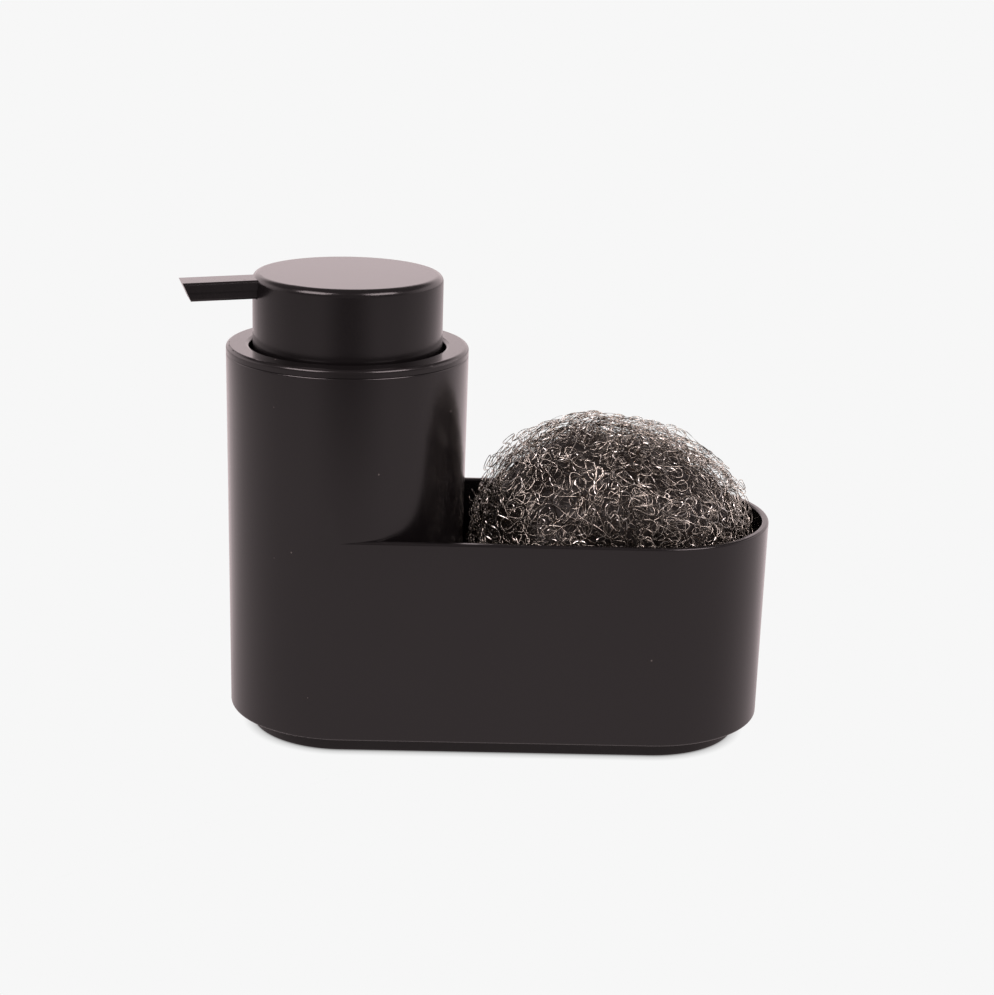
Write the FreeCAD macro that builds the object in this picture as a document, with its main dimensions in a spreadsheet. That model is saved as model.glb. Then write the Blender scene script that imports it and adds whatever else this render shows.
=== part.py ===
import FreeCAD, Part
import math
import os
import Sketcher

# A soap pump caddy: a round soap reservoir with a broad press head, and a tray for a wire scourer.
# The origin lies on the surface that the caddy stands on, under the middle of its outline.
# +X runs from the reservoir tower to the tray, +Y to the back and +Z up. All lengths are millimetres.

SIZES = {
    # Caddy shell: the tower and the tray in one moulding, widening upwards
    "tower_radius": 37.5,
    "draft_share": 0.0072,
    "centre_distance": 96.7,
    "seam_height": 121.3,
    "rim_height": 70.9,
    "foot_height": 6.3,
    "shell_wall": 2.2,
    "shell_floor": 2.2,
    "rim_round": 0.7,
    "foot_round": 0.8,
    "tray_floor_round": 3.0,
    "seam_round": 0.6,
    # Base plate, set in from the walls, and its strips
    "foot_inset": 6.9,
    "base_recess": 1.0,
    "base_wall": 2.4,
    "base_floor": 2.4,
    "base_rib": 1.8,
    "base_rib_spacing": 27.0,
    "base_round": 0.6,
    "strip_proud": 0.3,
    "strip_depth": 1.0,
    "strip_width": 9.0,
    "strip_margin": 9.7,
    "strip_offset": 5.8,
    # Lid: collar, well for the head, neck for the pump
    "collar_height": 2.5,
    "collar_round": 1.2,
    "well_wall": 2.0,
    "head_gap": 1.0,
    "head_floor_gap": 2.0,
    "core_floor_gap": 1.4,
    "well_floor": 2.0,
    "neck_radius": 12.0,
    "neck_height": 8.0,
    "neck_gap": 0.5,
    "ledge_gap": 0.7,
    "ledge_height": 1.2,
    # Lid seal, with two fins
    "seal_room": 3.0,
    "seal_height": 5.0,
    "seal_back": 1.1,
    "seal_fin": 1.2,
    "seal_gap": 0.1,
    # Pump housing, from its flange down to the dip tube
    "gasket_height": 1.0,
    "flange_height": 1.6,
    "barrel_bore": 6.5,
    "barrel_wall": 1.5,
    "barrel_depth": 45.0,
    "inlet_radius": 1.5,
    "inlet_height": 2.0,
    "chamber_radius": 3.2,
    "socket_depth": 10.0,
    "socket_wall": 1.6,
    "tube_radius": 3.0,
    "tube_bore": 2.0,
    "tube_floor_gap": 3.0,
    # Closure nut and stem guide
    "nut_wall": 2.6,
    "nut_top": 1.6,
    "nut_hole": 6.0,
    "nut_floor_gap": 0.6,
    "nut_thread_gap": 0.2,
    "nut_notch": 0.6,
    "guide_radius": 10.5,
    "guide_height": 1.4,
    "guide_depth": 8.0,
    # Plunger: stem, foot, piston, spring, cage and ball
    "stroke": 13.0,
    "stem_radius": 3.5,
    "stem_bore": 1.6,
    "stem_waist": 2.8,
    "port_radius": 0.8,
    "piston_height": 8.0,
    "piston_lip": 1.6,
    "piston_groove": 0.6,
    "foot_flange_radius": 5.4,
    "foot_flange_height": 1.8,
    "foot_plug_height": 2.5,
    "spring_radius": 4.5,
    "spring_wire": 1.0,
    "cage_height": 1.4,
    "cage_hole": 1.4,
    "cage_port": 0.7,
    "cage_port_circle": 2.35,
    "ball_radius": 2.5,
    "ball_lift": 1.6,
    # Head: cap with the spout's roof, core and nozzle
    "cap_height": 27.1,
    "cap_wall": 2.0,
    "cap_top": 2.0,
    "cap_round": 2.2,
    "cap_sink": 5.0,
    "spout_turn": 14.0,
    "spout_length": 22.0,
    "spout_width": 10.8,
    "spout_drop": 0.95,
    "spout_droop_share": 0.023,
    "spout_slant_share": 0.44,
    "roof_height": 2.9,
    "roof_round": 0.9,
    "nozzle_height": 2.9,
    "nozzle_inset": 0.6,
    "nozzle_bore": 1.0,
    "nozzle_pipe": 1.7,
    "pipe_length": 5.0,
    "nozzle_round": 0.8,
    "core_radius": 6.0,
    "core_nose": 2.0,
    "core_disc": 1.6,
    "core_disc_gap": 3.75,
    "core_head": 1.6,
    "stem_top_gap": 1.2,
    # Scourer, squeezed between the tray's walls
    "scourer_shift": 0.35,
    "scourer_end_gap": 3.6,
    "scourer_squeeze": 5.5,
    "scourer_half_height": 44.6,
    "swell_half_length": 38.4,
    "swell_half_width": 34.0,
    "swell_half_height": 35.5,
    "swell_back": 5.3,
    "swell_rise": 10.7,
    # Clearances
    "fit_gap": 0.05,
    "side_gap": 0.15,
    "stop_gap": 0.1,
    "soft_gap": 0.35,
    "overrun": 5.0,
}
SPRING_TURNS = 7
NUT_NOTCHES = 24
BASE_RIBS = 3
CAGE_PORTS = 4
QUARTERS = 4
ROUND_DEGREES = 360
NEAR_SHARE = 0.1

doc = FreeCAD.newDocument("soap_pump_caddy")
sheet = doc.addObject("Spreadsheet::Sheet", "sizes")
for row, (alias, number) in enumerate(SIZES.items(), start=1):
    sheet.set(f"A{row}", alias)
    sheet.set(f"B{row}", str(number))
    sheet.setAlias(f"B{row}", alias)
doc.recompute()


class Size:
    """A sheet cell, or a sum of cells, that keeps its formula beside its number."""

    def __init__(self, text, number):
        self.text = text
        self.number = number

    def join(self, sign, other, number):
        return Size(f"({self.text} {sign} {as_size(other).text})", number)

    def __add__(self, other):
        return self.join("+", other, self.number + as_size(other).number)

    def __sub__(self, other):
        return self.join("-", other, self.number - as_size(other).number)

    def __mul__(self, other):
        return self.join("*", other, self.number * as_size(other).number)

    def __truediv__(self, other):
        return self.join("/", other, self.number / as_size(other).number)

    def __neg__(self):
        return Size(f"(0 - {self.text})", -self.number)


def as_size(value):
    """A Size as it is, or a plain number as one."""
    return value if isinstance(value, Size) else Size(repr(value), value)


class Cells:
    """The sheet's cells by name, each as a Size."""

    def __getattr__(self, alias):
        return Size(f"sizes.{alias}", float(sheet.get(alias)))


def lower_of(first, second):
    """The smaller of two sizes."""
    return Size(f"min({first.text}; {second.text})", min(first.number, second.number))


c = Cells()
ZERO = as_size(0)


def shell_radius(height):
    """Outer radius of the drafted tower, and half the tray's width, at a height."""
    return c.tower_radius - c.draft_share * (c.seam_height - height)


# Places and sizes that several pieces share
tower_x = -c.centre_distance / 2
tray_x = c.centre_distance / 2
floor_top = c.foot_height + c.base_recess + c.shell_floor

# The head, from the collar up to the cap's top and then down to the end of its core
collar_top = c.seam_height + c.collar_height
mouth_radius = c.tower_radius - c.shell_wall
well_outer = mouth_radius - c.seal_room
well_radius = well_outer - c.well_wall
cap_radius = well_radius - c.head_gap
cap_inner = cap_radius - c.cap_wall
skirt_bottom = collar_top - c.cap_sink
cap_top = skirt_bottom + c.cap_height
inner_top = cap_top - c.cap_top
spout_reach = cap_radius + c.spout_length
roof_top = cap_top - c.spout_drop
roof_bottom = roof_top - c.roof_height
nozzle_bottom = roof_bottom - c.nozzle_height
duct_height = roof_bottom - c.nozzle_height / 2
stem_top = duct_height - c.nozzle_pipe - c.stem_top_gap
disc_top = nozzle_bottom - c.core_disc_gap
disc_bottom = disc_top - c.core_disc
core_bottom = disc_bottom - c.core_nose

# The well's floor lies low enough for the skirt, and for the core above the nut, at the end of the stroke
nut_stack = c.neck_height + c.gasket_height + c.flange_height + c.guide_height + c.nut_top
skirt_floor = skirt_bottom - c.stroke - c.head_floor_gap
core_floor = core_bottom - c.stroke - c.core_floor_gap - nut_stack
well_floor_top = lower_of(skirt_floor, core_floor)
seal_bottom = c.seam_height - c.seal_height

# The pump, from the neck down to the dip tube
neck_top = well_floor_top + c.neck_height
neck_bore = c.barrel_bore + c.barrel_wall + c.neck_gap
flange_bottom = neck_top + c.gasket_height
flange_top = flange_bottom + c.flange_height
guide_top = flange_top + c.guide_height
cage_bottom = flange_bottom - c.barrel_depth
cage_top = cage_bottom + c.cage_height
ball_seat_rise = c.ball_radius * Size("sqrt(2)", math.sqrt(2)) - c.inlet_radius
chamber_bottom = cage_bottom - ball_seat_rise - c.ball_radius - c.ball_lift - c.stop_gap * 2
tube_top = chamber_bottom - c.inlet_height
socket_bottom = tube_top - c.socket_depth
piston_top = flange_top - c.guide_depth - c.stop_gap
piston_bottom = piston_top - c.piston_height
stem_bottom = piston_bottom - c.stop_gap
foot_bottom = stem_bottom - c.foot_flange_height


def new_body(label, place=ZERO, turn=None):
    """A body that stands at a place along X, turned about its own upright axis."""
    body = doc.addObject("PartDesign::Body", label)
    body.Label = label
    body.setExpression("Placement.Base.x", place.text)
    if turn is not None:
        body.Placement.Rotation = FreeCAD.Rotation(FreeCAD.Vector(0, 0, 1), turn.number)
        body.setExpression("Placement.Rotation.Angle", turn.text)
    return body


def new_sketch(body, name, plane="XZ_Plane", shift=None, lift=None):
    """A sketch on one of the body's own planes, moved along its first axis or off the plane."""
    sketch = body.newObject("Sketcher::SketchObject", name)
    support = next(item for item in body.Origin.OriginFeatures if item.Role == plane)
    sketch.AttachmentSupport = [(support, "")]
    sketch.MapMode = "FlatFace"
    if shift is not None:
        sketch.setExpression("AttachmentOffset.Base.x", shift.text)
    if lift is not None:
        sketch.setExpression("AttachmentOffset.Base.z", lift.text)
    return sketch


def bind(sketch, size, *constraint):
    """Add a dimension to a sketch and tie it to the sheet."""
    index = sketch.addConstraint(Sketcher.Constraint(*constraint, size.number))
    sketch.setExpression(f"Constraints[{index}]", size.text)


def outline(sketch, corners):
    """A closed outline of straight edges, each corner tied to the sheet."""
    points = [FreeCAD.Vector(x.number, y.number, 0) for x, y in corners]
    following = points[1:] + points[:1]
    sketch.addGeometry([Part.LineSegment(*ends) for ends in zip(points, following)])
    last = len(points) - 1
    for index, (x, y) in enumerate(corners):
        after = 0 if index == last else index + 1
        sketch.addConstraint(Sketcher.Constraint("Coincident", index, 2, after, 1))
        bind(sketch, x, "DistanceX", -1, 1, index, 1)
        bind(sketch, y, "DistanceY", -1, 1, index, 1)
    return sketch


def circle(sketch, x, y, radius):
    """A circle tied to the sheet."""
    centre = FreeCAD.Vector(x.number, y.number, 0)
    index = sketch.addGeometry(Part.Circle(centre, FreeCAD.Vector(0, 0, 1), radius.number))
    bind(sketch, x, "DistanceX", -1, 1, index, 3)
    bind(sketch, y, "DistanceY", -1, 1, index, 3)
    bind(sketch, radius, "Radius", index)
    return sketch


def half_round(centre, radius, first):
    """Half a circle that starts at an angle and runs anticlockwise."""
    ring = Part.Circle(FreeCAD.Vector(centre.number, 0, 0), FreeCAD.Vector(0, 0, 1), radius.number)
    return Part.ArcOfCircle(ring, first, first + math.pi)


def straight(x_from, x_to, y):
    """A straight edge along X."""
    return Part.LineSegment(FreeCAD.Vector(x_from, y, 0), FreeCAD.Vector(x_to, y, 0))


def long_round(sketch, left, right, radius):
    """A long outline with round ends about two centres on the X axis."""
    span = (left.number, right.number)
    sketch.addGeometry(straight(*span, -radius.number))
    sketch.addGeometry(half_round(right, radius, -math.pi / 2))
    sketch.addGeometry(straight(*reversed(span), radius.number))
    sketch.addGeometry(half_round(left, radius, math.pi / 2))
    for index in range(4):
        after = (index + 1) % 4
        sketch.addConstraint(Sketcher.Constraint("Tangent", index, 2, after, 1))
    sketch.addConstraint(Sketcher.Constraint("Horizontal", 0))
    sketch.addConstraint(Sketcher.Constraint("Horizontal", 2))
    sketch.addConstraint(Sketcher.Constraint("PointOnObject", 1, 3, -1))
    bind(sketch, right, "DistanceX", -1, 1, 1, 3)
    bind(sketch, left, "DistanceX", -1, 1, 3, 3)
    bind(sketch, radius, "Radius", 1)
    return sketch


def turned(body, name, corners, kind="PartDesign::Revolution", shift=None):
    """A solid or a cut turned about the upright axis of its profile's plane."""
    profile = outline(new_sketch(body, name + "_profile", shift=shift), corners)
    feature = body.newObject(kind, name)
    feature.Profile = profile
    feature.ReferenceAxis = (profile, ["V_Axis"])
    feature.Angle = ROUND_DEGREES
    doc.recompute()
    return feature


def ring(inner, outer, bottom, top):
    """Corners of a plain ring's profile."""
    return [(inner, bottom), (outer, bottom), (outer, top), (inner, top)]


def raised(body, name, profile, length, kind="PartDesign::Pad", both=False, back=False):
    """A profile raised, or cut, to a length on one side of its plane or on both."""
    feature = body.newObject(kind, name)
    feature.Profile = profile
    feature.setExpression("Length", length.text)
    feature.SideType = "Symmetric" if both else "One side"
    feature.Reversed = back
    doc.recompute()
    return feature


def rounded(body, name, base, radius, wanted):
    """Round the edges of a feature that a test picks."""
    edges = [f"Edge{number}" for number, edge in enumerate(base.Shape.Edges, start=1) if wanted(edge)]
    feature = body.newObject("PartDesign::Fillet", name)
    feature.Base = (base, edges)
    feature.setExpression("Radius", radius.text)
    doc.recompute()
    return feature


def spun(body, name, feature, count):
    """Repeat a feature evenly about the body's upright axis."""
    pattern = body.newObject("PartDesign::PolarPattern", name)
    pattern.Originals = [feature]
    pattern.Axis = (next(item for item in body.Origin.OriginFeatures if item.Role == "Z_Axis"), [""])
    pattern.Angle = ROUND_DEGREES
    pattern.Occurrences = count
    body.Tip = pattern
    doc.recompute()
    return pattern


def near(value, wanted):
    """Whether a length agrees with a wanted one, to a share of the closest fit."""
    return abs(value - wanted.number) < c.fit_gap.number * NEAR_SHARE


def level_at(height):
    """A test for edges that lie level at a height."""
    return lambda edge: near(edge.BoundBox.ZMin, height) and near(edge.BoundBox.ZMax, height)


def circle_at(height, radius):
    """A test for full circles of a radius that lie level at a height."""

    def wanted(edge):
        return level_at(height)(edge) and near(edge.BoundBox.XLength, radius * 2)

    return wanted


def tray_form(body, name, inset, bottom, top, start, cut=False):
    """The tray's drafted form, or a hollow in it: a straight length and a round end that is tangent to it."""
    low = shell_radius(bottom) - inset
    high = shell_radius(top) - inset
    side = new_sketch(body, f"{name}_section", "YZ_Plane", lift=start)
    outline(side, [(-low, bottom), (low, bottom), (high, top), (-high, top)])
    end_corners = [(ZERO, bottom), (low, bottom), (high, top), (ZERO, top)]
    if cut:
        raised(body, f"{name}_length", side, tray_x - start, "PartDesign::Pocket", back=True)
        return turned(body, f"{name}_end", end_corners, "PartDesign::Groove", shift=tray_x)
    raised(body, f"{name}_length", side, tray_x - start)
    return turned(body, f"{name}_end", end_corners, shift=tray_x)


def make_caddy_shell():
    """Tower and tray in one piece: a drafted tray, hollowed and rounded, then the tower through it."""
    body = new_body("caddy_shell")

    def tray_edges(height):
        return lambda edge: level_at(height)(edge) and not is_tray_end(edge)

    tray_form(body, "tray", ZERO, c.foot_height, c.rim_height, tower_x)
    hollow = tray_form(body, "tray_hollow", c.shell_wall, floor_top, c.rim_height + c.overrun,
                       tower_x - c.overrun, cut=True)
    floor_round = rounded(body, "tray_floor_rounding", hollow, c.tray_floor_round, tray_edges(floor_top))
    rounded(body, "rim_rounding", floor_round, c.rim_round, tray_edges(c.rim_height))
    turned(body, "tower", [
        (ZERO, c.foot_height),
        (shell_radius(c.foot_height), c.foot_height),
        (c.tower_radius, c.seam_height),
        (ZERO, c.seam_height),
    ], shift=tower_x)
    bore_top = c.seam_height + c.overrun
    reservoir = turned(body, "reservoir", [
        (ZERO, floor_top),
        (shell_radius(floor_top) - c.shell_wall, floor_top),
        (shell_radius(bore_top) - c.shell_wall, bore_top),
        (ZERO, bore_top),
    ], "PartDesign::Groove", shift=tower_x)
    mouth = rounded(body, "mouth_rounding", reservoir, c.seam_round, level_at(c.seam_height))
    rounded(body, "foot_rounding", mouth, c.foot_round, level_at(c.foot_height))
    recess = long_round(new_sketch(body, "base_recess_outline", "XY_Plane", lift=c.foot_height),
                        tower_x, tray_x, base_radius() + c.side_gap)
    raised(body, "base_recess_cut", recess, c.base_recess, "PartDesign::Pocket", back=True)
    return body


def is_tray_end(edge):
    """Whether an edge lies across the flat end of the tray that the tower swallows."""
    return near(edge.BoundBox.XMin, tower_x) and near(edge.BoundBox.XMax, tower_x)


def base_radius():
    """End radius of the base plate, set in from the foot of the walls."""
    return shell_radius(c.foot_height) - c.foot_inset


def make_base_plate():
    """A tray-like plate, open upwards, with cross ribs, and recesses for the strips underneath."""
    body = new_body("base_plate")
    plate = long_round(new_sketch(body, "plate_outline", "XY_Plane", lift=c.strip_proud),
                       tower_x, tray_x, base_radius())
    height = c.foot_height + c.base_recess - c.strip_proud
    block = raised(body, "plate_block", plate, height)
    block = rounded(body, "plate_low_round", block, c.base_round, level_at(c.strip_proud))
    hollow = long_round(new_sketch(body, "plate_hollow_outline", "XY_Plane", lift=c.strip_proud + c.base_floor),
                        tower_x, tray_x, base_radius() - c.base_wall)
    raised(body, "plate_hollow", hollow, height, "PartDesign::Pocket", back=True)
    rib_depth = base_radius() - c.base_wall / 2
    rib_sketch = new_sketch(body, "rib_outline", "XY_Plane", lift=c.strip_proud + c.base_floor / 2)
    rib_half = c.base_rib / 2
    rib_sides = (-c.base_rib_spacing - rib_half, -c.base_rib_spacing + rib_half)
    outline(rib_sketch, [(rib_sides[0], -rib_depth), (rib_sides[1], -rib_depth), (rib_sides[1], rib_depth),
                         (rib_sides[0], rib_depth)])
    rib = raised(body, "rib", rib_sketch, height - c.base_floor / 2)
    rib_row = body.newObject("PartDesign::LinearPattern", "rib_row")
    rib_row.Originals = [rib]
    rib_row.Direction = (rib_sketch, ["H_Axis"])
    rib_row.Occurrences = BASE_RIBS
    rib_row.setExpression("Length", (c.base_rib_spacing * (BASE_RIBS - 1)).text)
    body.Tip = rib_row
    doc.recompute()
    strips = new_sketch(body, "strip_recess_outline", "XY_Plane", lift=c.strip_proud)
    for place in strip_places():
        strip_outline(strips, place, c.side_gap)
    raised(body, "strip_recess", strips, c.strip_depth, "PartDesign::Pocket", back=True)
    return body


def strip_places():
    """Where the three strips lie along X."""
    return (tower_x - c.strip_offset, ZERO, tray_x + c.strip_offset)


def strip_outline(sketch, place, gap):
    """Outline of a strip across the base, grown by a gap."""
    first = sketch.GeometryCount
    half_width = c.strip_width / 2 + gap
    half_length = base_radius() - c.strip_margin + gap
    corners = [(place - half_width, -half_length), (place + half_width, -half_length),
               (place + half_width, half_length), (place - half_width, half_length)]
    points = [FreeCAD.Vector(x.number, y.number, 0) for x, y in corners]
    sketch.addGeometry([Part.LineSegment(*ends) for ends in zip(points, points[1:] + points[:1])])
    for index, (x, y) in enumerate(corners):
        sketch.addConstraint(Sketcher.Constraint("Coincident", first + index, 2, first + (index + 1) % 4, 1))
        bind(sketch, x, "DistanceX", -1, 1, first + index, 1)
        bind(sketch, y, "DistanceY", -1, 1, first + index, 1)


def make_anti_slip_strips():
    """Three rubber strips that the caddy stands on."""
    body = new_body("anti_slip_strips")
    body.AllowCompound = True
    sketch = new_sketch(body, "strips_outline", "XY_Plane")
    for place in strip_places():
        strip_outline(sketch, place, ZERO)
    raised(body, "strips", sketch, c.strip_proud + c.strip_depth)
    return body


def make_collar_lid():
    """Collar flush with the tower, a well for the head, a channel for the seal and a neck."""
    body = new_body("collar_lid", tower_x)
    ledge_top = seal_bottom
    ledge_bottom = ledge_top - c.ledge_height
    ledge_radius = mouth_radius - c.ledge_gap
    lid = turned(body, "lid", [
        (well_radius, collar_top),
        (well_radius, well_floor_top),
        (c.neck_radius, well_floor_top),
        (c.neck_radius, neck_top),
        (neck_bore, neck_top),
        (neck_bore, well_floor_top - c.well_floor),
        (well_outer, well_floor_top - c.well_floor),
        (well_outer, ledge_bottom),
        (ledge_radius, ledge_bottom),
        (ledge_radius, ledge_top),
        (well_outer, ledge_top),
        (well_outer, c.seam_height),
        (c.tower_radius, c.seam_height),
        (c.tower_radius, collar_top),
    ])

    def collar_edges(edge):
        return circle_at(collar_top, c.tower_radius)(edge) or circle_at(collar_top, well_radius)(edge)

    rounded(body, "collar_rounding", lid, c.collar_round, collar_edges)
    return body


def make_lid_seal():
    """Soft ring with two fins that wipe the tower's mouth."""
    body = new_body("lid_seal", tower_x)
    inner = well_outer + c.fit_gap
    back = inner + c.seal_back
    fin = shell_radius(seal_bottom) - c.shell_wall - c.seal_gap
    turned(body, "seal", [
        (inner, seal_bottom),
        (fin, seal_bottom),
        (fin, seal_bottom + c.seal_fin),
        (back, seal_bottom + c.seal_fin),
        (back, c.seam_height - c.seal_fin),
        (fin, c.seam_height - c.seal_fin),
        (fin, c.seam_height),
        (inner, c.seam_height),
    ])
    return body


def make_pump_housing():
    """Barrel with a flange, a ball chamber with a cone seat, and a socket for the dip tube."""
    body = new_body("pump_housing", tower_x)
    barrel = c.barrel_bore + c.barrel_wall
    socket = c.tube_radius + c.socket_wall
    shoulder = cage_bottom - c.barrel_wall
    turned(body, "housing", [
        (c.barrel_bore, flange_top),
        (c.barrel_bore, cage_bottom),
        (c.chamber_radius, cage_bottom),
        (c.chamber_radius, chamber_bottom + c.chamber_radius - c.inlet_radius),
        (c.inlet_radius, chamber_bottom),
        (c.inlet_radius, tube_top),
        (c.tube_radius, tube_top),
        (c.tube_radius, socket_bottom),
        (socket, socket_bottom),
        (socket, shoulder - barrel + socket),
        (barrel, shoulder),
        (barrel, flange_bottom),
        (c.neck_radius, flange_bottom),
        (c.neck_radius, flange_top),
    ])
    return body


def make_housing_gasket():
    """Flat ring between the lid's neck and the housing's flange."""
    body = new_body("housing_gasket", tower_x)
    turned(body, "gasket", ring(neck_bore, c.neck_radius, neck_top, flange_bottom))
    return body


def make_closure_nut():
    """Ring nut that draws the housing down on the neck, notched for grip."""
    body = new_body("closure_nut", tower_x)
    inner = c.neck_radius + c.nut_thread_gap
    outer = inner + c.nut_wall
    bottom = well_floor_top + c.nut_floor_gap
    top = guide_top + c.nut_top
    turned(body, "nut", [
        (c.nut_hole, top),
        (c.nut_hole, guide_top),
        (inner, guide_top),
        (inner, bottom),
        (outer, bottom),
        (outer, top),
    ])
    sketch = circle(new_sketch(body, "notch_outline", "XY_Plane", lift=bottom), outer, ZERO, c.nut_notch)
    notch = raised(body, "notch", sketch, top - bottom, "PartDesign::Pocket", back=True)
    spun(body, "notches", notch, NUT_NOTCHES)
    return body


def make_stem_guide():
    """Plug in the barrel's mouth that guides the stem, with a disc that the nut clamps."""
    body = new_body("stem_guide", tower_x)
    plug = c.barrel_bore - c.fit_gap
    hole = c.stem_radius + c.fit_gap
    plug_bottom = flange_top - c.guide_depth
    turned(body, "guide", [
        (hole, guide_top),
        (hole, plug_bottom),
        (plug, plug_bottom),
        (plug, flange_top),
        (c.guide_radius, flange_top),
        (c.guide_radius, guide_top),
    ])
    return body


def make_dip_tube():
    """Tube from the housing's socket to just above the reservoir's floor."""
    body = new_body("dip_tube", tower_x)
    bottom = floor_top + c.tube_floor_gap
    turned(body, "tube", ring(c.tube_bore, c.tube_radius - c.fit_gap, bottom, tube_top))
    return body


def make_ball_cage():
    """Holed disc on the barrel's step: the spring stands on it and the ball stops under it."""
    body = new_body("ball_cage", tower_x)
    turned(body, "disc", ring(c.cage_hole, c.barrel_bore - c.fit_gap, cage_bottom, cage_top))
    sketch = new_sketch(body, "port_outline", "XY_Plane", lift=cage_bottom)
    circle(sketch, c.cage_port_circle, ZERO, c.cage_port)
    port = raised(body, "port", sketch, c.cage_height, "PartDesign::Pocket", back=True)
    spun(body, "ports", port, CAGE_PORTS)
    return body


def make_inlet_ball():
    """Valve ball, a hair above its cone seat."""
    ball = doc.addObject("Part::Sphere", "inlet_ball")
    ball.Label = "inlet_ball"
    ball.setExpression("Radius", c.ball_radius.text)
    ball.setExpression("Placement.Base.x", tower_x.text)
    ball.setExpression("Placement.Base.z", (chamber_bottom + ball_seat_rise + c.stop_gap).text)
    return ball


def make_stem():
    """Hollow rod with a waist for the piston and a cross port that the piston opens."""
    body = new_body("stem", tower_x)
    shoulder = piston_top + c.stop_gap / 2
    turned(body, "rod", [
        (c.stem_bore, stem_top),
        (c.stem_bore, stem_bottom),
        (c.stem_waist, stem_bottom),
        (c.stem_waist, shoulder),
        (c.stem_radius, shoulder),
        (c.stem_radius, stem_top),
    ])
    sketch = new_sketch(body, "port_outline")
    circle(sketch, ZERO, piston_bottom + c.piston_height / 2, c.port_radius)
    raised(body, "port", sketch, c.stem_radius * 2 + c.overrun, "PartDesign::Pocket", both=True)
    return body


def make_stem_foot():
    """Plug in the stem's end with a flange that the spring pushes on."""
    body = new_body("stem_foot", tower_x)
    plug = c.stem_bore - c.fit_gap
    turned(body, "foot", [
        (ZERO, foot_bottom),
        (c.foot_flange_radius, foot_bottom),
        (c.foot_flange_radius, stem_bottom),
        (plug, stem_bottom),
        (plug, stem_bottom + c.foot_plug_height),
        (ZERO, stem_bottom + c.foot_plug_height),
    ])
    return body


def make_piston():
    """Sleeve with two lips that runs in the barrel and slides a little on the stem's waist."""
    body = new_body("piston", tower_x)
    lip = c.barrel_bore - c.fit_gap
    waist = lip - c.piston_groove
    hole = c.stem_waist + c.fit_gap
    turned(body, "sleeve", [
        (hole, piston_bottom),
        (lip, piston_bottom),
        (lip, piston_bottom + c.piston_lip),
        (waist, piston_bottom + c.piston_lip),
        (waist, piston_top - c.piston_lip),
        (lip, piston_top - c.piston_lip),
        (lip, piston_top),
        (hole, piston_top),
    ])
    return body


def biarc(start, start_way, end, end_way):
    """Two arcs that join two points with a given direction at each."""
    span = end - start
    ways = start_way + end_way
    turn = 1 - start_way.dot(end_way)
    along = span.dot(ways)
    reach = (-along + math.sqrt(along * along + 2 * turn * span.dot(span))) / (2 * turn)
    first_knee = start + start_way * reach
    last_knee = end - end_way * reach
    middle = (first_knee + last_knee) * 0.5
    return [arc_under(start, first_knee, middle), arc_under(middle, last_knee, end)]


def arc_under(start, knee, end):
    """The arc that leaves one point and reaches another, its tangents meeting at a knee."""
    chord_middle = (start + end) * 0.5
    rise = knee - chord_middle
    half_chord = (end - start).Length / 2
    bend = math.atan2(rise.Length, half_chord)
    crown = chord_middle + rise * (half_chord * math.tan(bend / 2) / rise.Length)
    return Part.Arc(start, crown, end).toShape()


def make_return_spring():
    """Coil spring as one unbroken wire, its ends running straight for a wire's width."""
    wire = c.spring_wire.number
    radius = c.spring_radius.number
    low = cage_top.number + wire
    rise = (foot_bottom.number - wire - low) / SPRING_TURNS
    steps = SPRING_TURNS * QUARTERS

    def place(turn):
        angle = turn * 2 * math.pi
        return FreeCAD.Vector(radius * math.cos(angle), radius * math.sin(angle), low + rise * turn)

    def way(turn):
        angle = turn * 2 * math.pi
        course = FreeCAD.Vector(-math.sin(angle), math.cos(angle), rise / (2 * math.pi * radius))
        return course.normalize()

    turns = [step / QUARTERS for step in range(steps + 1)]
    edges = [Part.makeLine(place(turns[0]) - way(turns[0]) * wire, place(turns[0]))]
    for before, after in zip(turns, turns[1:]):
        edges += biarc(place(before), way(before), place(after), way(after))
    edges.append(Part.makeLine(place(turns[-1]), place(turns[-1]) + way(turns[-1]) * wire))
    path = Part.Wire(edges)
    end = place(turns[0]) - way(turns[0]) * wire
    section = Part.Wire(Part.Circle(end, way(turns[0]), wire / 2).toShape())
    pipe = Part.BRepOffsetAPI.MakePipeShell(path)
    pipe.add(section)
    pipe.build()
    pipe.makeSolid()
    spring = doc.addObject("Part::Feature", "return_spring")
    spring.Label = "return_spring"
    spring.Shape = pipe.shape()
    spring.Placement.Base.x = tower_x.number
    print("spring gap between turns", round(self_gap(path, wire), 2))
    return spring


def self_gap(path, wire):
    """Least space between neighbouring turns, measured on points along the centre line."""
    points = path.discretize(Number=SPRING_TURNS * ROUND_DEGREES // 4)
    turn_points = len(points) // SPRING_TURNS
    apart = turn_points * 3 // 4
    spaces = [
        (first - second).Length - wire
        for index, first in enumerate(points)
        for second in points[index + apart:index + 2 * turn_points]
    ]
    return min(spaces)


def spout_level(height, reach):
    """Height of a spout face at a reach from the pump's axis, with the spout's slight droop."""
    return height - c.spout_droop_share * (reach - cap_radius)


def spout_end(height):
    """Reach of the slanted spout end at a height below the roof's top."""
    return spout_reach - c.spout_slant_share * (roof_top - height)


def spout_profile(sketch, root, bottom, top):
    """Side view of the spout between two heights, pointing along -X."""
    corners = [(root, bottom), (root, top), (spout_end(top), top), (spout_end(bottom), bottom)]
    return outline(sketch, [(-reach, spout_level(height, reach)) for reach, height in corners])


def along_spout(edge):
    """Whether an edge runs along the spout, well clear of the cap's round wall."""
    box = edge.BoundBox
    return -box.XMin > cap_radius.number + box.YLength and box.XLength > c.cap_wall.number


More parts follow.
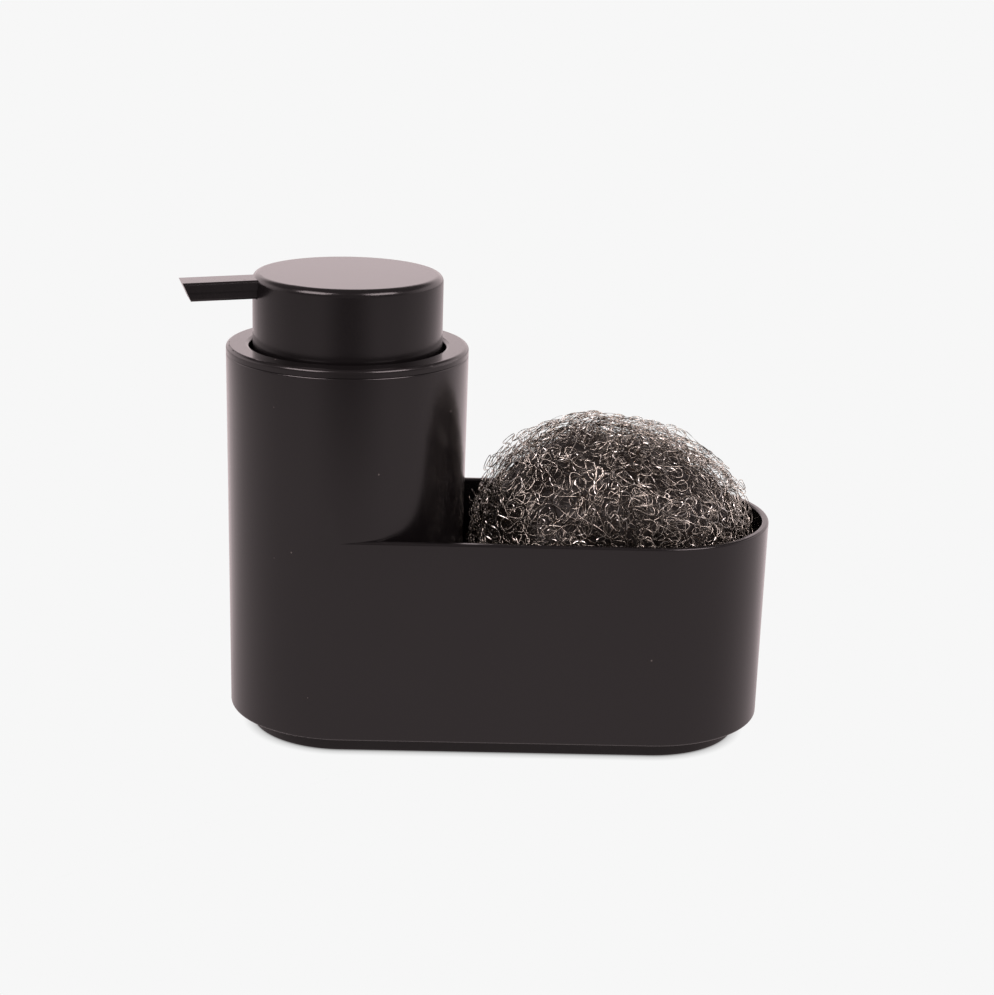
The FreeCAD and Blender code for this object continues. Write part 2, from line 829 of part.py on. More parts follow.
def make_head_cap():
    """Broad press cap, hollow below, with the spout's roof and a slot for the nozzle."""
    body = new_body("head_cap", tower_x, c.spout_turn)
    cap = turned(body, "cap", [
        (ZERO, cap_top),
        (ZERO, inner_top),
        (cap_inner, inner_top),
        (cap_inner, skirt_bottom),
        (cap_radius, skirt_bottom),
        (cap_radius, cap_top),
    ])
    rounded(body, "cap_rounding", cap, c.cap_round, circle_at(cap_top, cap_radius))
    side = spout_profile(new_sketch(body, "roof_side"), cap_inner, roof_bottom, roof_top)
    roof = raised(body, "roof", side, c.spout_width, both=True)
    rounded(body, "roof_rounding", roof, c.roof_round,
            lambda edge: along_spout(edge) and edge.BoundBox.ZMax > roof_bottom.number + c.roof_round.number)
    slot = new_sketch(body, "slot_side")
    slot_low = nozzle_bottom - c.side_gap
    slot_ends = (cap_inner - c.overrun, cap_radius + c.overrun)
    slot_bottom = [(-reach, slot_low) for reach in slot_ends]
    slot_top = [(-reach, spout_level(roof_bottom, reach)) for reach in reversed(slot_ends)]
    outline(slot, slot_bottom + slot_top)
    slot_width = c.spout_width - c.nozzle_inset * 2 + c.side_gap * 2
    raised(body, "nozzle_slot", slot, slot_width, "PartDesign::Pocket", both=True)
    return body


def make_spout_nozzle():
    """Lower half of the spout: a narrow duct under the roof with a pipe end for the core."""
    body = new_body("spout_nozzle", tower_x, c.spout_turn)
    root = c.core_radius + c.pipe_length
    side = spout_profile(new_sketch(body, "nozzle_side"), root, nozzle_bottom, roof_bottom)
    duct = raised(body, "duct", side, c.spout_width - c.nozzle_inset * 2, both=True)
    rounded(body, "duct_rounding", duct, c.nozzle_round,
            lambda edge: along_spout(edge) and edge.BoundBox.ZMax < duct_height.number)
    pipe = circle(new_sketch(body, "pipe_outline", "YZ_Plane", lift=-root), ZERO, duct_height, c.nozzle_pipe)
    raised(body, "pipe", pipe, root - c.stem_bore - c.fit_gap)
    bore_height = spout_level(duct_height, cap_radius + c.spout_length / 2)
    bore = circle(new_sketch(body, "bore_outline", "YZ_Plane", lift=-spout_reach), ZERO, bore_height,
                  c.nozzle_bore)
    raised(body, "bore", bore, spout_reach, "PartDesign::Pocket", back=True)
    return body


def make_head_core():
    """Inner moulding of the head: stem socket, duct, a disc that fits the cap and a pipe hole."""
    body = new_body("head_core", tower_x, c.spout_turn)
    socket = c.stem_radius + c.fit_gap
    turned(body, "core", [
        (ZERO, inner_top),
        (ZERO, inner_top - c.core_head),
        (c.stem_bore, inner_top - c.core_head),
        (c.stem_bore, stem_top),
        (socket, stem_top),
        (socket, core_bottom),
        (c.core_radius, core_bottom),
        (c.core_radius, disc_bottom),
        (cap_inner - c.fit_gap, disc_bottom),
        (cap_inner - c.fit_gap, disc_top),
        (c.core_radius, disc_top),
        (c.core_radius, inner_top),
    ])
    hole = circle(new_sketch(body, "pipe_hole_outline", "YZ_Plane"), ZERO, duct_height,
                  c.nozzle_pipe + c.fit_gap)
    raised(body, "pipe_hole", hole, c.core_radius + c.overrun, "PartDesign::Pocket")
    return body


def ellipsoid(name, half_height, half_length, half_width, x, z):
    """An ellipsoid with its middle on the XZ plane."""
    form = doc.addObject("Part::Ellipsoid", name)
    form.setExpression("Radius1", half_height.text)
    form.setExpression("Radius2", half_length.text)
    form.setExpression("Radius3", half_width.text)
    form.setExpression("Placement.Base.x", x.text)
    form.setExpression("Placement.Base.z", z.text)
    return form


def make_scourer():
    """Wire scourer as one closed bun with a fuller shoulder, flattened where the tray presses on it."""
    rim_radius = shell_radius(c.rim_height)
    room_start = tower_x + rim_radius
    room_end = tray_x + rim_radius - c.shell_wall
    room_half_width = shell_radius(floor_top) - c.shell_wall
    middle_x = (room_start + room_end) / 2 - c.scourer_shift
    middle_z = floor_top + c.soft_gap + c.scourer_half_height
    bun = ellipsoid("scourer_bun", c.scourer_half_height, (room_end - room_start) / 2 - c.scourer_end_gap,
                    room_half_width + c.scourer_squeeze, middle_x, middle_z)
    swell = ellipsoid("scourer_swell", c.swell_half_height, c.swell_half_length, c.swell_half_width,
                      middle_x - c.swell_back, middle_z + c.swell_rise)
    both = doc.addObject("Part::MultiFuse", "scourer_forms")
    both.Shapes = [bun, swell]
    room = doc.addObject("PartDesign::Body", "scourer_room")
    sketch = long_round(new_sketch(room, "room_outline", "XY_Plane"), tower_x, tray_x,
                        room_half_width - c.soft_gap)
    raised(room, "room", sketch, floor_top + c.scourer_half_height * 2 + c.swell_rise + c.overrun)
    scourer = doc.addObject("Part::MultiCommon", "scourer")
    scourer.Label = "scourer"
    scourer.Shapes = [both, room]
    return scourer


MAKERS = (
    make_caddy_shell,
    make_base_plate,
    make_anti_slip_strips,
    make_collar_lid,
    make_lid_seal,
    make_pump_housing,
    make_housing_gasket,
    make_closure_nut,
    make_stem_guide,
    make_dip_tube,
    make_ball_cage,
    make_inlet_ball,
    make_stem,
    make_stem_foot,
    make_piston,
    make_return_spring,
    make_head_cap,
    make_spout_nozzle,
    make_head_core,
    make_scourer,
)
pieces = [make() for make in MAKERS]
doc.recompute()

for item in doc.Objects:
    if "Invalid" in item.State or "Error" in item.State:
        raise RuntimeError(f"{item.Name} failed: {item.State}")
for piece in pieces:
    if piece.Shape.isNull() or not piece.Shape.isValid():
        raise RuntimeError(f"{piece.Label} has no valid shape")

os.makedirs("parts", exist_ok=True)
for piece in pieces:
    piece.Shape.exportStep(f"parts/{piece.Label}.step")
    print(piece.Label, len(piece.Shape.Solids), "solid", round(piece.Shape.Volume), "mm3")
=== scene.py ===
# %% [markdown]
# # A soap pump caddy in black plastic, with its wire scourer
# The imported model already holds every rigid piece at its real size. This lesson gives those pieces
# their finish, winds the scourer and the pump's spring from real wire, and sets up the picture.
# All lengths in Blender are metres, so small sizes below are written in millimetres times MM.

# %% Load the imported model
import math

import bpy
import numpy as np
from mathutils import Matrix, Vector


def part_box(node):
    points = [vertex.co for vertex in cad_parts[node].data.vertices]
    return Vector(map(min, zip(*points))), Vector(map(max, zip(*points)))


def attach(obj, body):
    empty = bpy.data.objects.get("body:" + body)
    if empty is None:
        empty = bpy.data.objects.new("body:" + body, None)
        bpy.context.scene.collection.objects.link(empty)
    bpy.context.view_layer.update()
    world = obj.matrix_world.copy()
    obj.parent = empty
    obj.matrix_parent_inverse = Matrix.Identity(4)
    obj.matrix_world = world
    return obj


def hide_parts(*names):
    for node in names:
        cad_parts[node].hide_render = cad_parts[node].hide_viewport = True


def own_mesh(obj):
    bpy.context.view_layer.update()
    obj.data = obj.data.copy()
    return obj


MM = 0.001
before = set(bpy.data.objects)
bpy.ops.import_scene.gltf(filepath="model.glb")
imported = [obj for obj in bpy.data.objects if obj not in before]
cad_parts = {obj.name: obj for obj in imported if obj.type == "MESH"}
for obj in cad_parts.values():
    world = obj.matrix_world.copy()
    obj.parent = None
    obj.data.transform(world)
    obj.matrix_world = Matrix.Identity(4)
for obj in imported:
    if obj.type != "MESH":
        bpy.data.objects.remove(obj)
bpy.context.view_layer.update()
print("packed pieces:", len(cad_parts))

# %% [markdown]
# ## Camera
# The picture was taken from the tray's front side, a little above the caddy, with a long lens.
# A camera could be aimed by hand, but a camera fitted to the outlines gives the same picture every
# time: its place is a distance, a height and three turns, and its lens is a focal length in pixels.

# %% Place the camera
IMAGE_WIDTH = 994
FOCAL_PIXELS = 2125.2
SENSOR_WIDTH_MM = 36.0
CAMERA_DISTANCE = 645.3 * MM
CAMERA_HEIGHT = 265.9 * MM
CAMERA_SIDE = -0.78 * MM
CAMERA_YAW = -0.0236
CAMERA_PITCH = 0.2877
CAMERA_ROLL = 0.0289


def camera_matrix():
    """Place and turn of the camera: yaw about Z, then pitch down, then roll about the line of sight."""
    right = Vector((math.cos(CAMERA_YAW), math.sin(CAMERA_YAW), 0))
    level = Vector((-math.sin(CAMERA_YAW), math.cos(CAMERA_YAW), 0))
    ahead = level * math.cos(CAMERA_PITCH) - Vector((0, 0, 1)) * math.sin(CAMERA_PITCH)
    down = ahead.cross(right)
    rolled_right = right * math.cos(CAMERA_ROLL) - down * math.sin(CAMERA_ROLL)
    rolled_down = right * math.sin(CAMERA_ROLL) + down * math.cos(CAMERA_ROLL)
    turn = Matrix((rolled_right, -rolled_down, -ahead)).transposed().to_4x4()
    place = Vector((0, 0, CAMERA_HEIGHT)) - level * CAMERA_DISTANCE + right * CAMERA_SIDE
    return Matrix.Translation(place) @ turn


camera = bpy.data.objects.new("camera", bpy.data.cameras.new("camera"))
camera.data.sensor_fit = "HORIZONTAL"
camera.data.sensor_width = SENSOR_WIDTH_MM
camera.data.lens = FOCAL_PIXELS * SENSOR_WIDTH_MM / IMAGE_WIDTH
camera.matrix_world = camera_matrix()
bpy.context.scene.collection.objects.link(camera)
bpy.context.scene.camera = camera
bpy.context.scene.view_settings.view_transform = "Standard"
print("camera lens in mm:", round(camera.data.lens, 2))

# %% [markdown]
# ## Helpers for shader nodes
# Every finish below is a small tree of shader nodes. One function adds a node, sets its options and
# either links or fills its inputs, so that each finish reads as a short recipe.


# %% Add shader nodes
def add_node(tree, kind, options=None, **inputs):
    """Add a node and link or fill its inputs.

    An input is named by its label, with _ for a space, or by its number, as i0 for the first."""
    made = tree.nodes.new(kind)
    for key, value in (options or {}).items():
        setattr(made, key, value)
    for key, value in inputs.items():
        socket = made.inputs[int(key[1:])] if key[1:].isdigit() else made.inputs[key.replace("_", " ")]
        if isinstance(value, bpy.types.NodeSocket):
            tree.links.new(value, socket)
        else:
            socket.default_value = value
    return made


def math_node(tree, operation, *values):
    """A Math node's result for two or three values or sockets."""
    inputs = {f"i{index}": value for index, value in enumerate(values)}
    return add_node(tree, "ShaderNodeMath", {"operation": operation}, **inputs).outputs[0]


def remap(tree, value, low, high, to_low, to_high, smooth=False):
    """A value moved from one range to another and held inside it."""
    options = {"interpolation_type": "SMOOTHSTEP" if smooth else "LINEAR", "clamp": True}
    ends = {"i1": low, "i2": high, "i3": to_low, "i4": to_high}
    return add_node(tree, "ShaderNodeMapRange", options, i0=value, **ends).outputs["Result"]


def mix_colours(tree, factor, first, second):
    """Two colours mixed by a factor."""
    mixed = add_node(tree, "ShaderNodeMix", {"data_type": "RGBA"}, i0=factor, i6=first, i7=second)
    return mixed.outputs[2]


def new_material(name):
    """An empty material with a Principled shader, which is returned with its tree."""
    material = bpy.data.materials.new(name)
    material.use_nodes = True
    return material, material.node_tree, material.node_tree.nodes["Principled BSDF"]


print("shader helpers ready")

# %% [markdown]
# ## Floor, backdrop and light
# The caddy stands on a pale floor that runs into a backdrop of the same tone, so no horizon shows.
# A lit floor would fall off towards the corners; here the camera sees one even tone, darkened only
# where the caddy stands close. Everything else sees a studio: a floor that is bright behind the
# object, a dark patch on it where the camera stands, a bright back wall under a dark ceiling, and two
# softboxes left and right of the camera. Black plastic shows nothing but reflections, so these tones
# are what models the tower, and the softboxes draw the thin lines on its rounded edges.

# %% Lay the floor
BACKGROUND_TONE = (0.93, 0.93, 0.93, 1)
STUDIO_TINT = (1.0, 0.845, 0.86, 1)
FLOOR_SIZE = 20.0
FLOOR_BACK = 1.27
FLOOR_SIDE = 0.82
FLOOR_FRONT = 0.66
FRONT_FACING = -0.4
SIDE_FACING = 0.3
BACK_FACING = 0.85
FAR_REACH = (430 * MM, 740 * MM)
FAR_LEAST = 0.66
DARK_PATCH_Y = -750 * MM
DARK_PATCH_HALVES = (420 * MM, 500 * MM)
DARK_PATCH_EDGE = (0.2, 1.1)
DARK_PATCH_LEAST = 0.1
SHADOW_REACH = 3.6 * MM
SHADOW_DEEPEST = 0.30
SHADOW_SAMPLES = 24


def floor_material():
    """Even tone with a contact shadow for the camera; for other rays a tone that rises to the back.

    Facing is y over the distance from the middle, so it is 1 straight behind the caddy and -1 in
    front. The dark patch is an ellipse: its factor grows with the distance over its half lengths."""
    material = bpy.data.materials.new("studio_floor")
    material.use_nodes = True
    tree = material.node_tree
    tree.nodes.clear()
    position = add_node(tree, "ShaderNodeNewGeometry").outputs["Position"]
    place = add_node(tree, "ShaderNodeSeparateXYZ", Vector=position)
    spread = add_node(tree, "ShaderNodeVectorMath", {"operation": "LENGTH"}, i0=position).outputs["Value"]
    facing = math_node(tree, "DIVIDE", place.outputs["Y"], spread)
    back = remap(tree, facing, SIDE_FACING, BACK_FACING, 0.0, FLOOR_BACK - FLOOR_SIDE)
    side = remap(tree, facing, FRONT_FACING, SIDE_FACING, FLOOR_FRONT, FLOOR_SIDE)
    far = remap(tree, spread, *FAR_REACH, 1.0, FAR_LEAST, smooth=True)
    lit = math_node(tree, "MULTIPLY", math_node(tree, "ADD", back, side), far)
    aside = math_node(tree, "DIVIDE", place.outputs["X"], DARK_PATCH_HALVES[0])
    ahead = math_node(tree, "SUBTRACT", place.outputs["Y"], DARK_PATCH_Y)
    away = math_node(tree, "DIVIDE", ahead, DARK_PATCH_HALVES[1])
    aside_square, away_square = (math_node(tree, "MULTIPLY", part, part) for part in (aside, away))
    from_patch = math_node(tree, "SQRT", math_node(tree, "ADD", aside_square, away_square))
    patch = remap(tree, from_patch, *DARK_PATCH_EDGE, DARK_PATCH_LEAST, 1.0, smooth=True)
    strength = math_node(tree, "MULTIPLY", lit, patch)
    glow = add_node(tree, "ShaderNodeEmission", Color=STUDIO_TINT, Strength=strength)
    sampling = {"samples": SHADOW_SAMPLES}
    closeness = add_node(tree, "ShaderNodeAmbientOcclusion", sampling, Distance=SHADOW_REACH)
    shade = remap(tree, closeness.outputs["AO"], 0.0, 1.0, SHADOW_DEEPEST, 1.0)
    seen = add_node(tree, "ShaderNodeEmission", Color=BACKGROUND_TONE, Strength=shade)
    is_seen = add_node(tree, "ShaderNodeLightPath").outputs["Is Camera Ray"]
    both = add_node(tree, "ShaderNodeMixShader", i0=is_seen, i1=glow.outputs[0], i2=seen.outputs[0])
    add_node(tree, "ShaderNodeOutputMaterial", Surface=both.outputs[0])
    return material


floor_corners = np.array([(-1, -1, 0), (1, -1, 0), (1, 1, 0), (-1, 1, 0)]) * FLOOR_SIZE / 2
floor_mesh = bpy.data.meshes.new("floor")
floor_mesh.from_pydata(floor_corners.tolist(), [], [(0, 1, 2, 3)])
floor_mesh.materials.append(floor_material())
floor = bpy.data.objects.new("floor", floor_mesh)
bpy.context.scene.collection.objects.link(floor)
print("floor laid, metres across:", FLOOR_SIZE)

# %% Build the room round it
WALL_BACK = 1.44
CEILING = 0.22
WALL_TURN = 0.5
WALL_TOP_START = 0.36
WALL_TOP_END = 0.62


def studio_world():
    """The backdrop's tone for the camera; for other rays a bright back wall, dim ceiling and front."""
    world = bpy.data.worlds.new("studio")
    world.use_nodes = True
    tree = world.node_tree
    tree.nodes.clear()
    direction = add_node(tree, "ShaderNodeTexCoord").outputs["Generated"]
    way = add_node(tree, "ShaderNodeSeparateXYZ", Vector=direction)
    behind = remap(tree, way.outputs["Y"], -WALL_TURN, WALL_TURN, 0.0, WALL_BACK - CEILING, smooth=True)
    below_top = remap(tree, way.outputs["Z"], WALL_TOP_START, WALL_TOP_END, 1.0, 0.0, smooth=True)
    glow = math_node(tree, "MULTIPLY_ADD", behind, below_top, CEILING)
    room = add_node(tree, "ShaderNodeBackground", Color=STUDIO_TINT, Strength=glow)
    backdrop = add_node(tree, "ShaderNodeBackground", Color=BACKGROUND_TONE, Strength=1.0)
    is_seen = add_node(tree, "ShaderNodeLightPath").outputs["Is Camera Ray"]
    both = add_node(tree, "ShaderNodeMixShader", i0=is_seen, i1=room.outputs[0], i2=backdrop.outputs[0])
    add_node(tree, "ShaderNodeOutputWorld", Surface=both.outputs[0])
    return world


bpy.context.scene.world = studio_world()
print("room built, back wall and ceiling:", WALL_BACK, CEILING)

# %% Hang the softboxes
SOFTBOX_SIZE = (0.55, 0.45)
SOFTBOX_DISTANCE = 1.0
SOFTBOX_RISE = math.radians(40)
SOFTBOX_TURN = math.radians(46)
SOFTBOX_POWER = 5.8
AIM = Vector((0, 0, 90 * MM))


def hang_softbox(name, turn):
    """An area light on a sphere round the object, at a turn from the front and a rise, facing it."""
    level = Vector((math.sin(turn), -math.cos(turn), 0))
    way = level * math.cos(SOFTBOX_RISE) + Vector((0, 0, 1)) * math.sin(SOFTBOX_RISE)
    light = bpy.data.lights.new(name, "AREA")
    light.shape = "RECTANGLE"
    light.size = SOFTBOX_SIZE[0]
    light.size_y = SOFTBOX_SIZE[1]
    light.energy = SOFTBOX_POWER
    light.color = STUDIO_TINT[:3]
    box = bpy.data.objects.new(name, light)
    facing = way.to_track_quat("Z", "Y").to_matrix().to_4x4()
    box.matrix_world = Matrix.Translation(AIM + way * SOFTBOX_DISTANCE) @ facing
    bpy.context.scene.collection.objects.link(box)
    return box


softboxes = [hang_softbox("softbox_left", -SOFTBOX_TURN), hang_softbox("softbox_right", SOFTBOX_TURN)]
print("softboxes:", [tuple(round(value, 2) for value in box.location) for box in softboxes])

# %% [markdown]
# ## Shared effects
# Moulded plastic carries the fine spark-eroded grain of its mould and very slight waves where the
# wall cooled, and anything black shows dust. Both effects are used by several finishes, so each is
# a node group with its own inputs. A group only hands out masks and heights; the shader itself
# stays in the material.


# %% Build the grain and dust groups
def new_group(name, inputs, outputs):
    """A node group with named value sockets, and its inner ends."""
    group = bpy.data.node_groups.new(name, "ShaderNodeTree")
    for label, value in inputs.items():
        socket = group.interface.new_socket(label, in_out="INPUT", socket_type="NodeSocketFloat")
        socket.default_value = value
    for label in outputs:
        group.interface.new_socket(label, in_out="OUTPUT", socket_type="NodeSocketFloat")
    return group, group.nodes.new("NodeGroupInput"), group.nodes.new("NodeGroupOutput")


def moulded_grain():
    """Fine grain and slow waves on object coordinates: noise at a grain's size and at a wall's width."""
    sizes = {"Grain per metre": 2200.0, "Wave per metre": 30.0}
    group, given, result = new_group("moulded_grain", sizes, ("Grain", "Wave"))
    place = add_node(group, "ShaderNodeTexCoord").outputs["Object"]
    fine, slow = given.outputs[:2]
    grain = add_node(group, "ShaderNodeTexNoise", Vector=place, Scale=fine, Detail=2.0, Roughness=0.6)
    wave = add_node(group, "ShaderNodeTexNoise", Vector=place, Scale=slow, Detail=1.0)
    group.links.new(grain.outputs["Fac"], result.inputs["Grain"])
    group.links.new(wave.outputs["Fac"], result.inputs["Wave"])
    return group


def settled_dust():
    """Sparse specks: small discs round the points of a cell pattern, kept in only a few of its cells."""
    sizes = {"Cells per metre": 190.0, "Speck size": 0.055, "Rarity": 0.93}
    group, given, result = new_group("settled_dust", sizes, ("Speck",))
    place = add_node(group, "ShaderNodeTexCoord").outputs["Object"]
    cells = add_node(group, "ShaderNodeTexVoronoi", Vector=place, Scale=given.outputs[0])
    chance = add_node(group, "ShaderNodeSeparateXYZ", Vector=cells.outputs["Color"]).outputs["X"]
    kept = math_node(group, "GREATER_THAN", chance, given.outputs[2])
    near = math_node(group, "LESS_THAN", cells.outputs["Distance"], given.outputs[1])
    group.links.new(math_node(group, "MULTIPLY", kept, near), result.inputs["Speck"])
    return group


GRAIN = moulded_grain()
DUST = settled_dust()
print("effect groups:", GRAIN.name, DUST.name)

# %% [markdown]
# ## Black plastics
# The caddy, its collar and its head are one satin black polypropylene; the base and the head's inner
# part are duller. Nearly all that is seen is gloss, so the colour stays very dark and the grain
# works through a small bump and an uneven roughness. A flat roughness would look like enamel.

# %% Mix the black plastics
DUST_TONE = (0.10, 0.092, 0.088, 1)
NOISE_RANGE = (0.3, 0.7)
GRAIN_BUMP = 0.25


def black_plastic(name, dark, light, roughness, spread, relief, shine=0.5):
    """Dark plastic: two near-black tones by the slow waves, dust specks, grain in roughness and bump."""
    material, tree, shader = new_material(name)
    grain = add_node(tree, "ShaderNodeGroup", {"node_tree": GRAIN})
    dust = add_node(tree, "ShaderNodeGroup", {"node_tree": DUST})
    body = mix_colours(tree, grain.outputs["Wave"], dark, light)
    colour = mix_colours(tree, dust.outputs["Speck"], body, DUST_TONE)
    height = grain.outputs["Grain"]
    rough = remap(tree, height, *NOISE_RANGE, roughness - spread, roughness + spread)
    tree.links.new(colour, shader.inputs["Base Color"])
    tree.links.new(math_node(tree, "MAXIMUM", rough, dust.outputs["Speck"]), shader.inputs["Roughness"])
    bump = add_node(tree, "ShaderNodeBump", Strength=GRAIN_BUMP, Distance=relief, Height=height)
    tree.links.new(bump.outputs["Normal"], shader.inputs["Normal"])
    shader.inputs["Specular IOR Level"].default_value = shine
    return material


SATIN_BLACK = black_plastic(
    "satin_black_plastic", (0.0054, 0.0047, 0.0050, 1), (0.0076, 0.0067, 0.0070, 1),
    roughness=0.20, spread=0.03, relief=0.010 * MM,
)
MATTE_BLACK = black_plastic(
    "matte_black_plastic", (0.006, 0.0051, 0.0053, 1), (0.009, 0.008, 0.008, 1),
    roughness=0.46, spread=0.06, relief=0.025 * MM, shine=0.40,
)


def dress(material, *nodes):
    """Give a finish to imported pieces."""
    for name in nodes:
        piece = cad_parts[name]
        piece.data.materials.clear()
        piece.data.materials.append(material)
    print(material.name, "on", ", ".join(nodes))


dress(SATIN_BLACK, "caddy_shell", "collar_lid", "head_cap", "spout_nozzle")
dress(MATTE_BLACK, "base_plate", "head_core")

# %% [markdown]
# ## Pump plastics, rubber and steel
# Under the lid the pump is made of milky natural plastic, with silicone seals, a rubber-footed base
# and a steel valve ball. These show when the lid is lifted out. Each finish is a short recipe of two
# tones, a roughness and a bump, with its own scale.

# %% Mix the other finishes
ROUGHNESS_SWING = 0.2
FINISH_BUMP = 0.2


def plain_finish(name, first, second, per_metre, roughness, relief, metal=0.0):
    """Two tones and a roughness that follow one noise, with a bump of the same noise."""
    material, tree, shader = new_material(name)
    place = add_node(tree, "ShaderNodeTexCoord").outputs["Object"]
    noise = add_node(tree, "ShaderNodeTexNoise", Vector=place, Scale=per_metre, Detail=3.0).outputs["Fac"]
    tree.links.new(mix_colours(tree, noise, first, second), shader.inputs["Base Color"])
    swing = roughness * ROUGHNESS_SWING
    rough = remap(tree, noise, *NOISE_RANGE, roughness - swing, roughness + swing)
    tree.links.new(rough, shader.inputs["Roughness"])
    bump = add_node(tree, "ShaderNodeBump", Strength=FINISH_BUMP, Distance=relief, Height=noise)
    tree.links.new(bump.outputs["Normal"], shader.inputs["Normal"])
    shader.inputs["Metallic"].default_value = metal
    return material


MILKY = plain_finish(
    "milky_plastic", (0.70, 0.72, 0.71, 1), (0.80, 0.81, 0.79, 1), per_metre=160, roughness=0.38,
    relief=0.02 * MM,
)
TUBE = plain_finish(
    "tube_plastic", (0.62, 0.66, 0.68, 1), (0.76, 0.79, 0.80, 1), per_metre=90, roughness=0.25,
    relief=0.01 * MM,
)
SILICONE = plain_finish(
    "silicone", (0.46, 0.47, 0.48, 1), (0.56, 0.57, 0.58, 1), per_metre=240, roughness=0.5,
    relief=0.02 * MM,
)
RUBBER = plain_finish(
    "strip_rubber", (0.018, 0.018, 0.019, 1), (0.032, 0.032, 0.034, 1), per_metre=900, roughness=0.75,
    relief=0.06 * MM,
)
STEEL = plain_finish(
    "bright_steel", (0.52, 0.51, 0.50, 1), (0.64, 0.63, 0.62, 1), per_metre=400, roughness=0.18,
    relief=0.004 * MM, metal=1.0,
)
dress(MILKY, "pump_housing", "closure_nut", "stem_guide", "ball_cage", "stem", "stem_foot", "piston")
dress(TUBE, "dip_tube")
dress(SILICONE, "lid_seal", "housing_gasket")
dress(RUBBER, "anti_slip_strips")
dress(STEEL, "inlet_ball", "return_spring")

# %% [markdown]
# ## Wire tubes
# Wire is a flat or round section carried along a path. A curve object with a bevel would do it for
# one wire, but the scourer has thousands of loops, so the tube is worked out for all points at once:
# a frame of two directions across the path at each point, and a ring of corners in that frame.

# %% Sweep wires as whole arrays
SMALLEST = 1e-12


def unit(vectors):
    """Vectors divided by their length, which is held above zero."""
    return vectors / np.maximum(np.linalg.norm(vectors, axis=-1, keepdims=True), SMALLEST)


def wire_tubes(paths, reference, width, height, twist, sides):
    """Tubes along paths of shape (wires, points, 3), each point with a ring of corners round it.

    A corner is path + width cos(angle) across + height sin(angle) up. Across lies square to the
    path and to the reference direction, up is square to both, and the twist turns the pair about
    the path. Width and height are half the section's two sides."""
    along = unit(np.gradient(paths, axis=1))
    flat = unit(np.cross(reference, along))
    raised = np.cross(along, flat)
    turn = np.asarray(twist)[..., None]
    across = flat * np.cos(turn) + raised * np.sin(turn)
    up = raised * np.cos(turn) - flat * np.sin(turn)
    angles = np.arange(sides) * 2 * np.pi / sides
    aside = across[:, :, None] * (width * np.cos(angles))[:, None]
    above = up[:, :, None] * (height * np.sin(angles))[:, None]
    corners = paths[:, :, None] + (aside + above)
    wires, points = paths.shape[:2]
    index = np.arange(wires * points * sides).reshape(wires, points, sides)
    turned = np.roll(index, -1, axis=2)
    walls = np.stack([index[:, :-1], turned[:, :-1], turned[:, 1:], index[:, 1:]], axis=-1).reshape(-1, 4)
    ends = np.concatenate([index[:, 0, ::-1], index[:, -1]])
    return corners.reshape(-1, 3), walls.tolist() + ends.tolist()


def new_piece(name, corners, faces, material, body, smooth=True):
    """A mesh object at the origin with its place in its mesh, riding on a body."""
    mesh = bpy.data.meshes.new(name)
    mesh.from_pydata(corners.tolist(), [], faces)
    mesh.polygons.foreach_set("use_smooth", np.full(len(mesh.polygons), smooth))
    mesh.materials.append(material)
    piece = bpy.data.objects.new(name, mesh)
    bpy.context.scene.collection.objects.link(piece)
    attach(piece, body)
    return piece


print("wire sweep ready")

# %% [markdown]
# ## The scourer's body
# The scourer is a ball of knitted steel wire, pressed between the tray's walls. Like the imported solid
# its skin is a bun with a second, higher swell next to the tower, drawn in where the flat sides and
# the round end of the tray stop it. A sculpted mesh could carry that shape, but a distance for every
# direction is easier to hang wires on.

# %% Measure the scourer's skin
scourer_low, scourer_high = (np.array(corner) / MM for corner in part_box("scourer"))
pump_low, pump_high = (np.array(corner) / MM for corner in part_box("pump_housing"))
TOWER_X = (pump_low[0] + pump_high[0]) / 2
TRAY_END = -TOWER_X
LOOSE_END = 2.6
BUN_HALVES = np.array([43.6 + LOOSE_END / 2, 39.9, 44.6])
BUN_MIDDLE = np.array([scourer_high[0] + LOOSE_END - BUN_HALVES[0], 0.0, scourer_low[2] + BUN_HALVES[2]])
SWELL_HALVES = np.array([38.4, 34.0, 35.5])
SWELL_SHIFT = np.array([-5.3 - LOOSE_END / 2, 0.0, 10.7])
WALL_ROOM = 0.5
ROOM_HALF = scourer_high[1] - WALL_ROOM
CORNER_SHARPNESS = 20
LEAST_SLOPE = 1e-9
OUT_OF_REACH = 1e6


def reach_of(ways, halves, shift):
    """Distance along directions to an ellipsoid with a shifted middle: the root of its quadratic."""
    scaled = ways / halves
    moved = shift / halves
    square = (scaled ** 2).sum(axis=-1)
    lean = scaled @ moved
    return (lean + np.sqrt(lean ** 2 - square * (moved @ moved - 1))) / square


def skin_distance(ways):
    """Distance from the bun's middle to its skin: the farther of bun and swell, held by the walls.

    Bun, flat sides and round end are joined as a sum of high powers of one over each distance, so
    that no sharp edge is left."""
    bun = np.maximum(reach_of(ways, BUN_HALVES, np.zeros(3)), reach_of(ways, SWELL_HALVES, SWELL_SHIFT))
    sides = ROOM_HALF / np.maximum(np.abs(ways[..., 1]), LEAST_SLOPE)
    offset = BUN_MIDDLE[0] - TRAY_END
    level = np.maximum(ways[..., 0] ** 2 + ways[..., 1] ** 2, LEAST_SLOPE)
    half_turn = offset * ways[..., 0]
    end = (-half_turn + np.sqrt(half_turn ** 2 + level * (ROOM_HALF ** 2 - offset ** 2))) / level
    end = np.where(offset + end * ways[..., 0] > 0, end, OUT_OF_REACH)
    powers = sum((1 / distance) ** CORNER_SHARPNESS for distance in (bun, sides, end))
    return powers ** (-1 / CORNER_SHARPNESS)


print("scourer middle in mm:", BUN_MIDDLE.round(1), "halves:", BUN_HALVES.round(1))

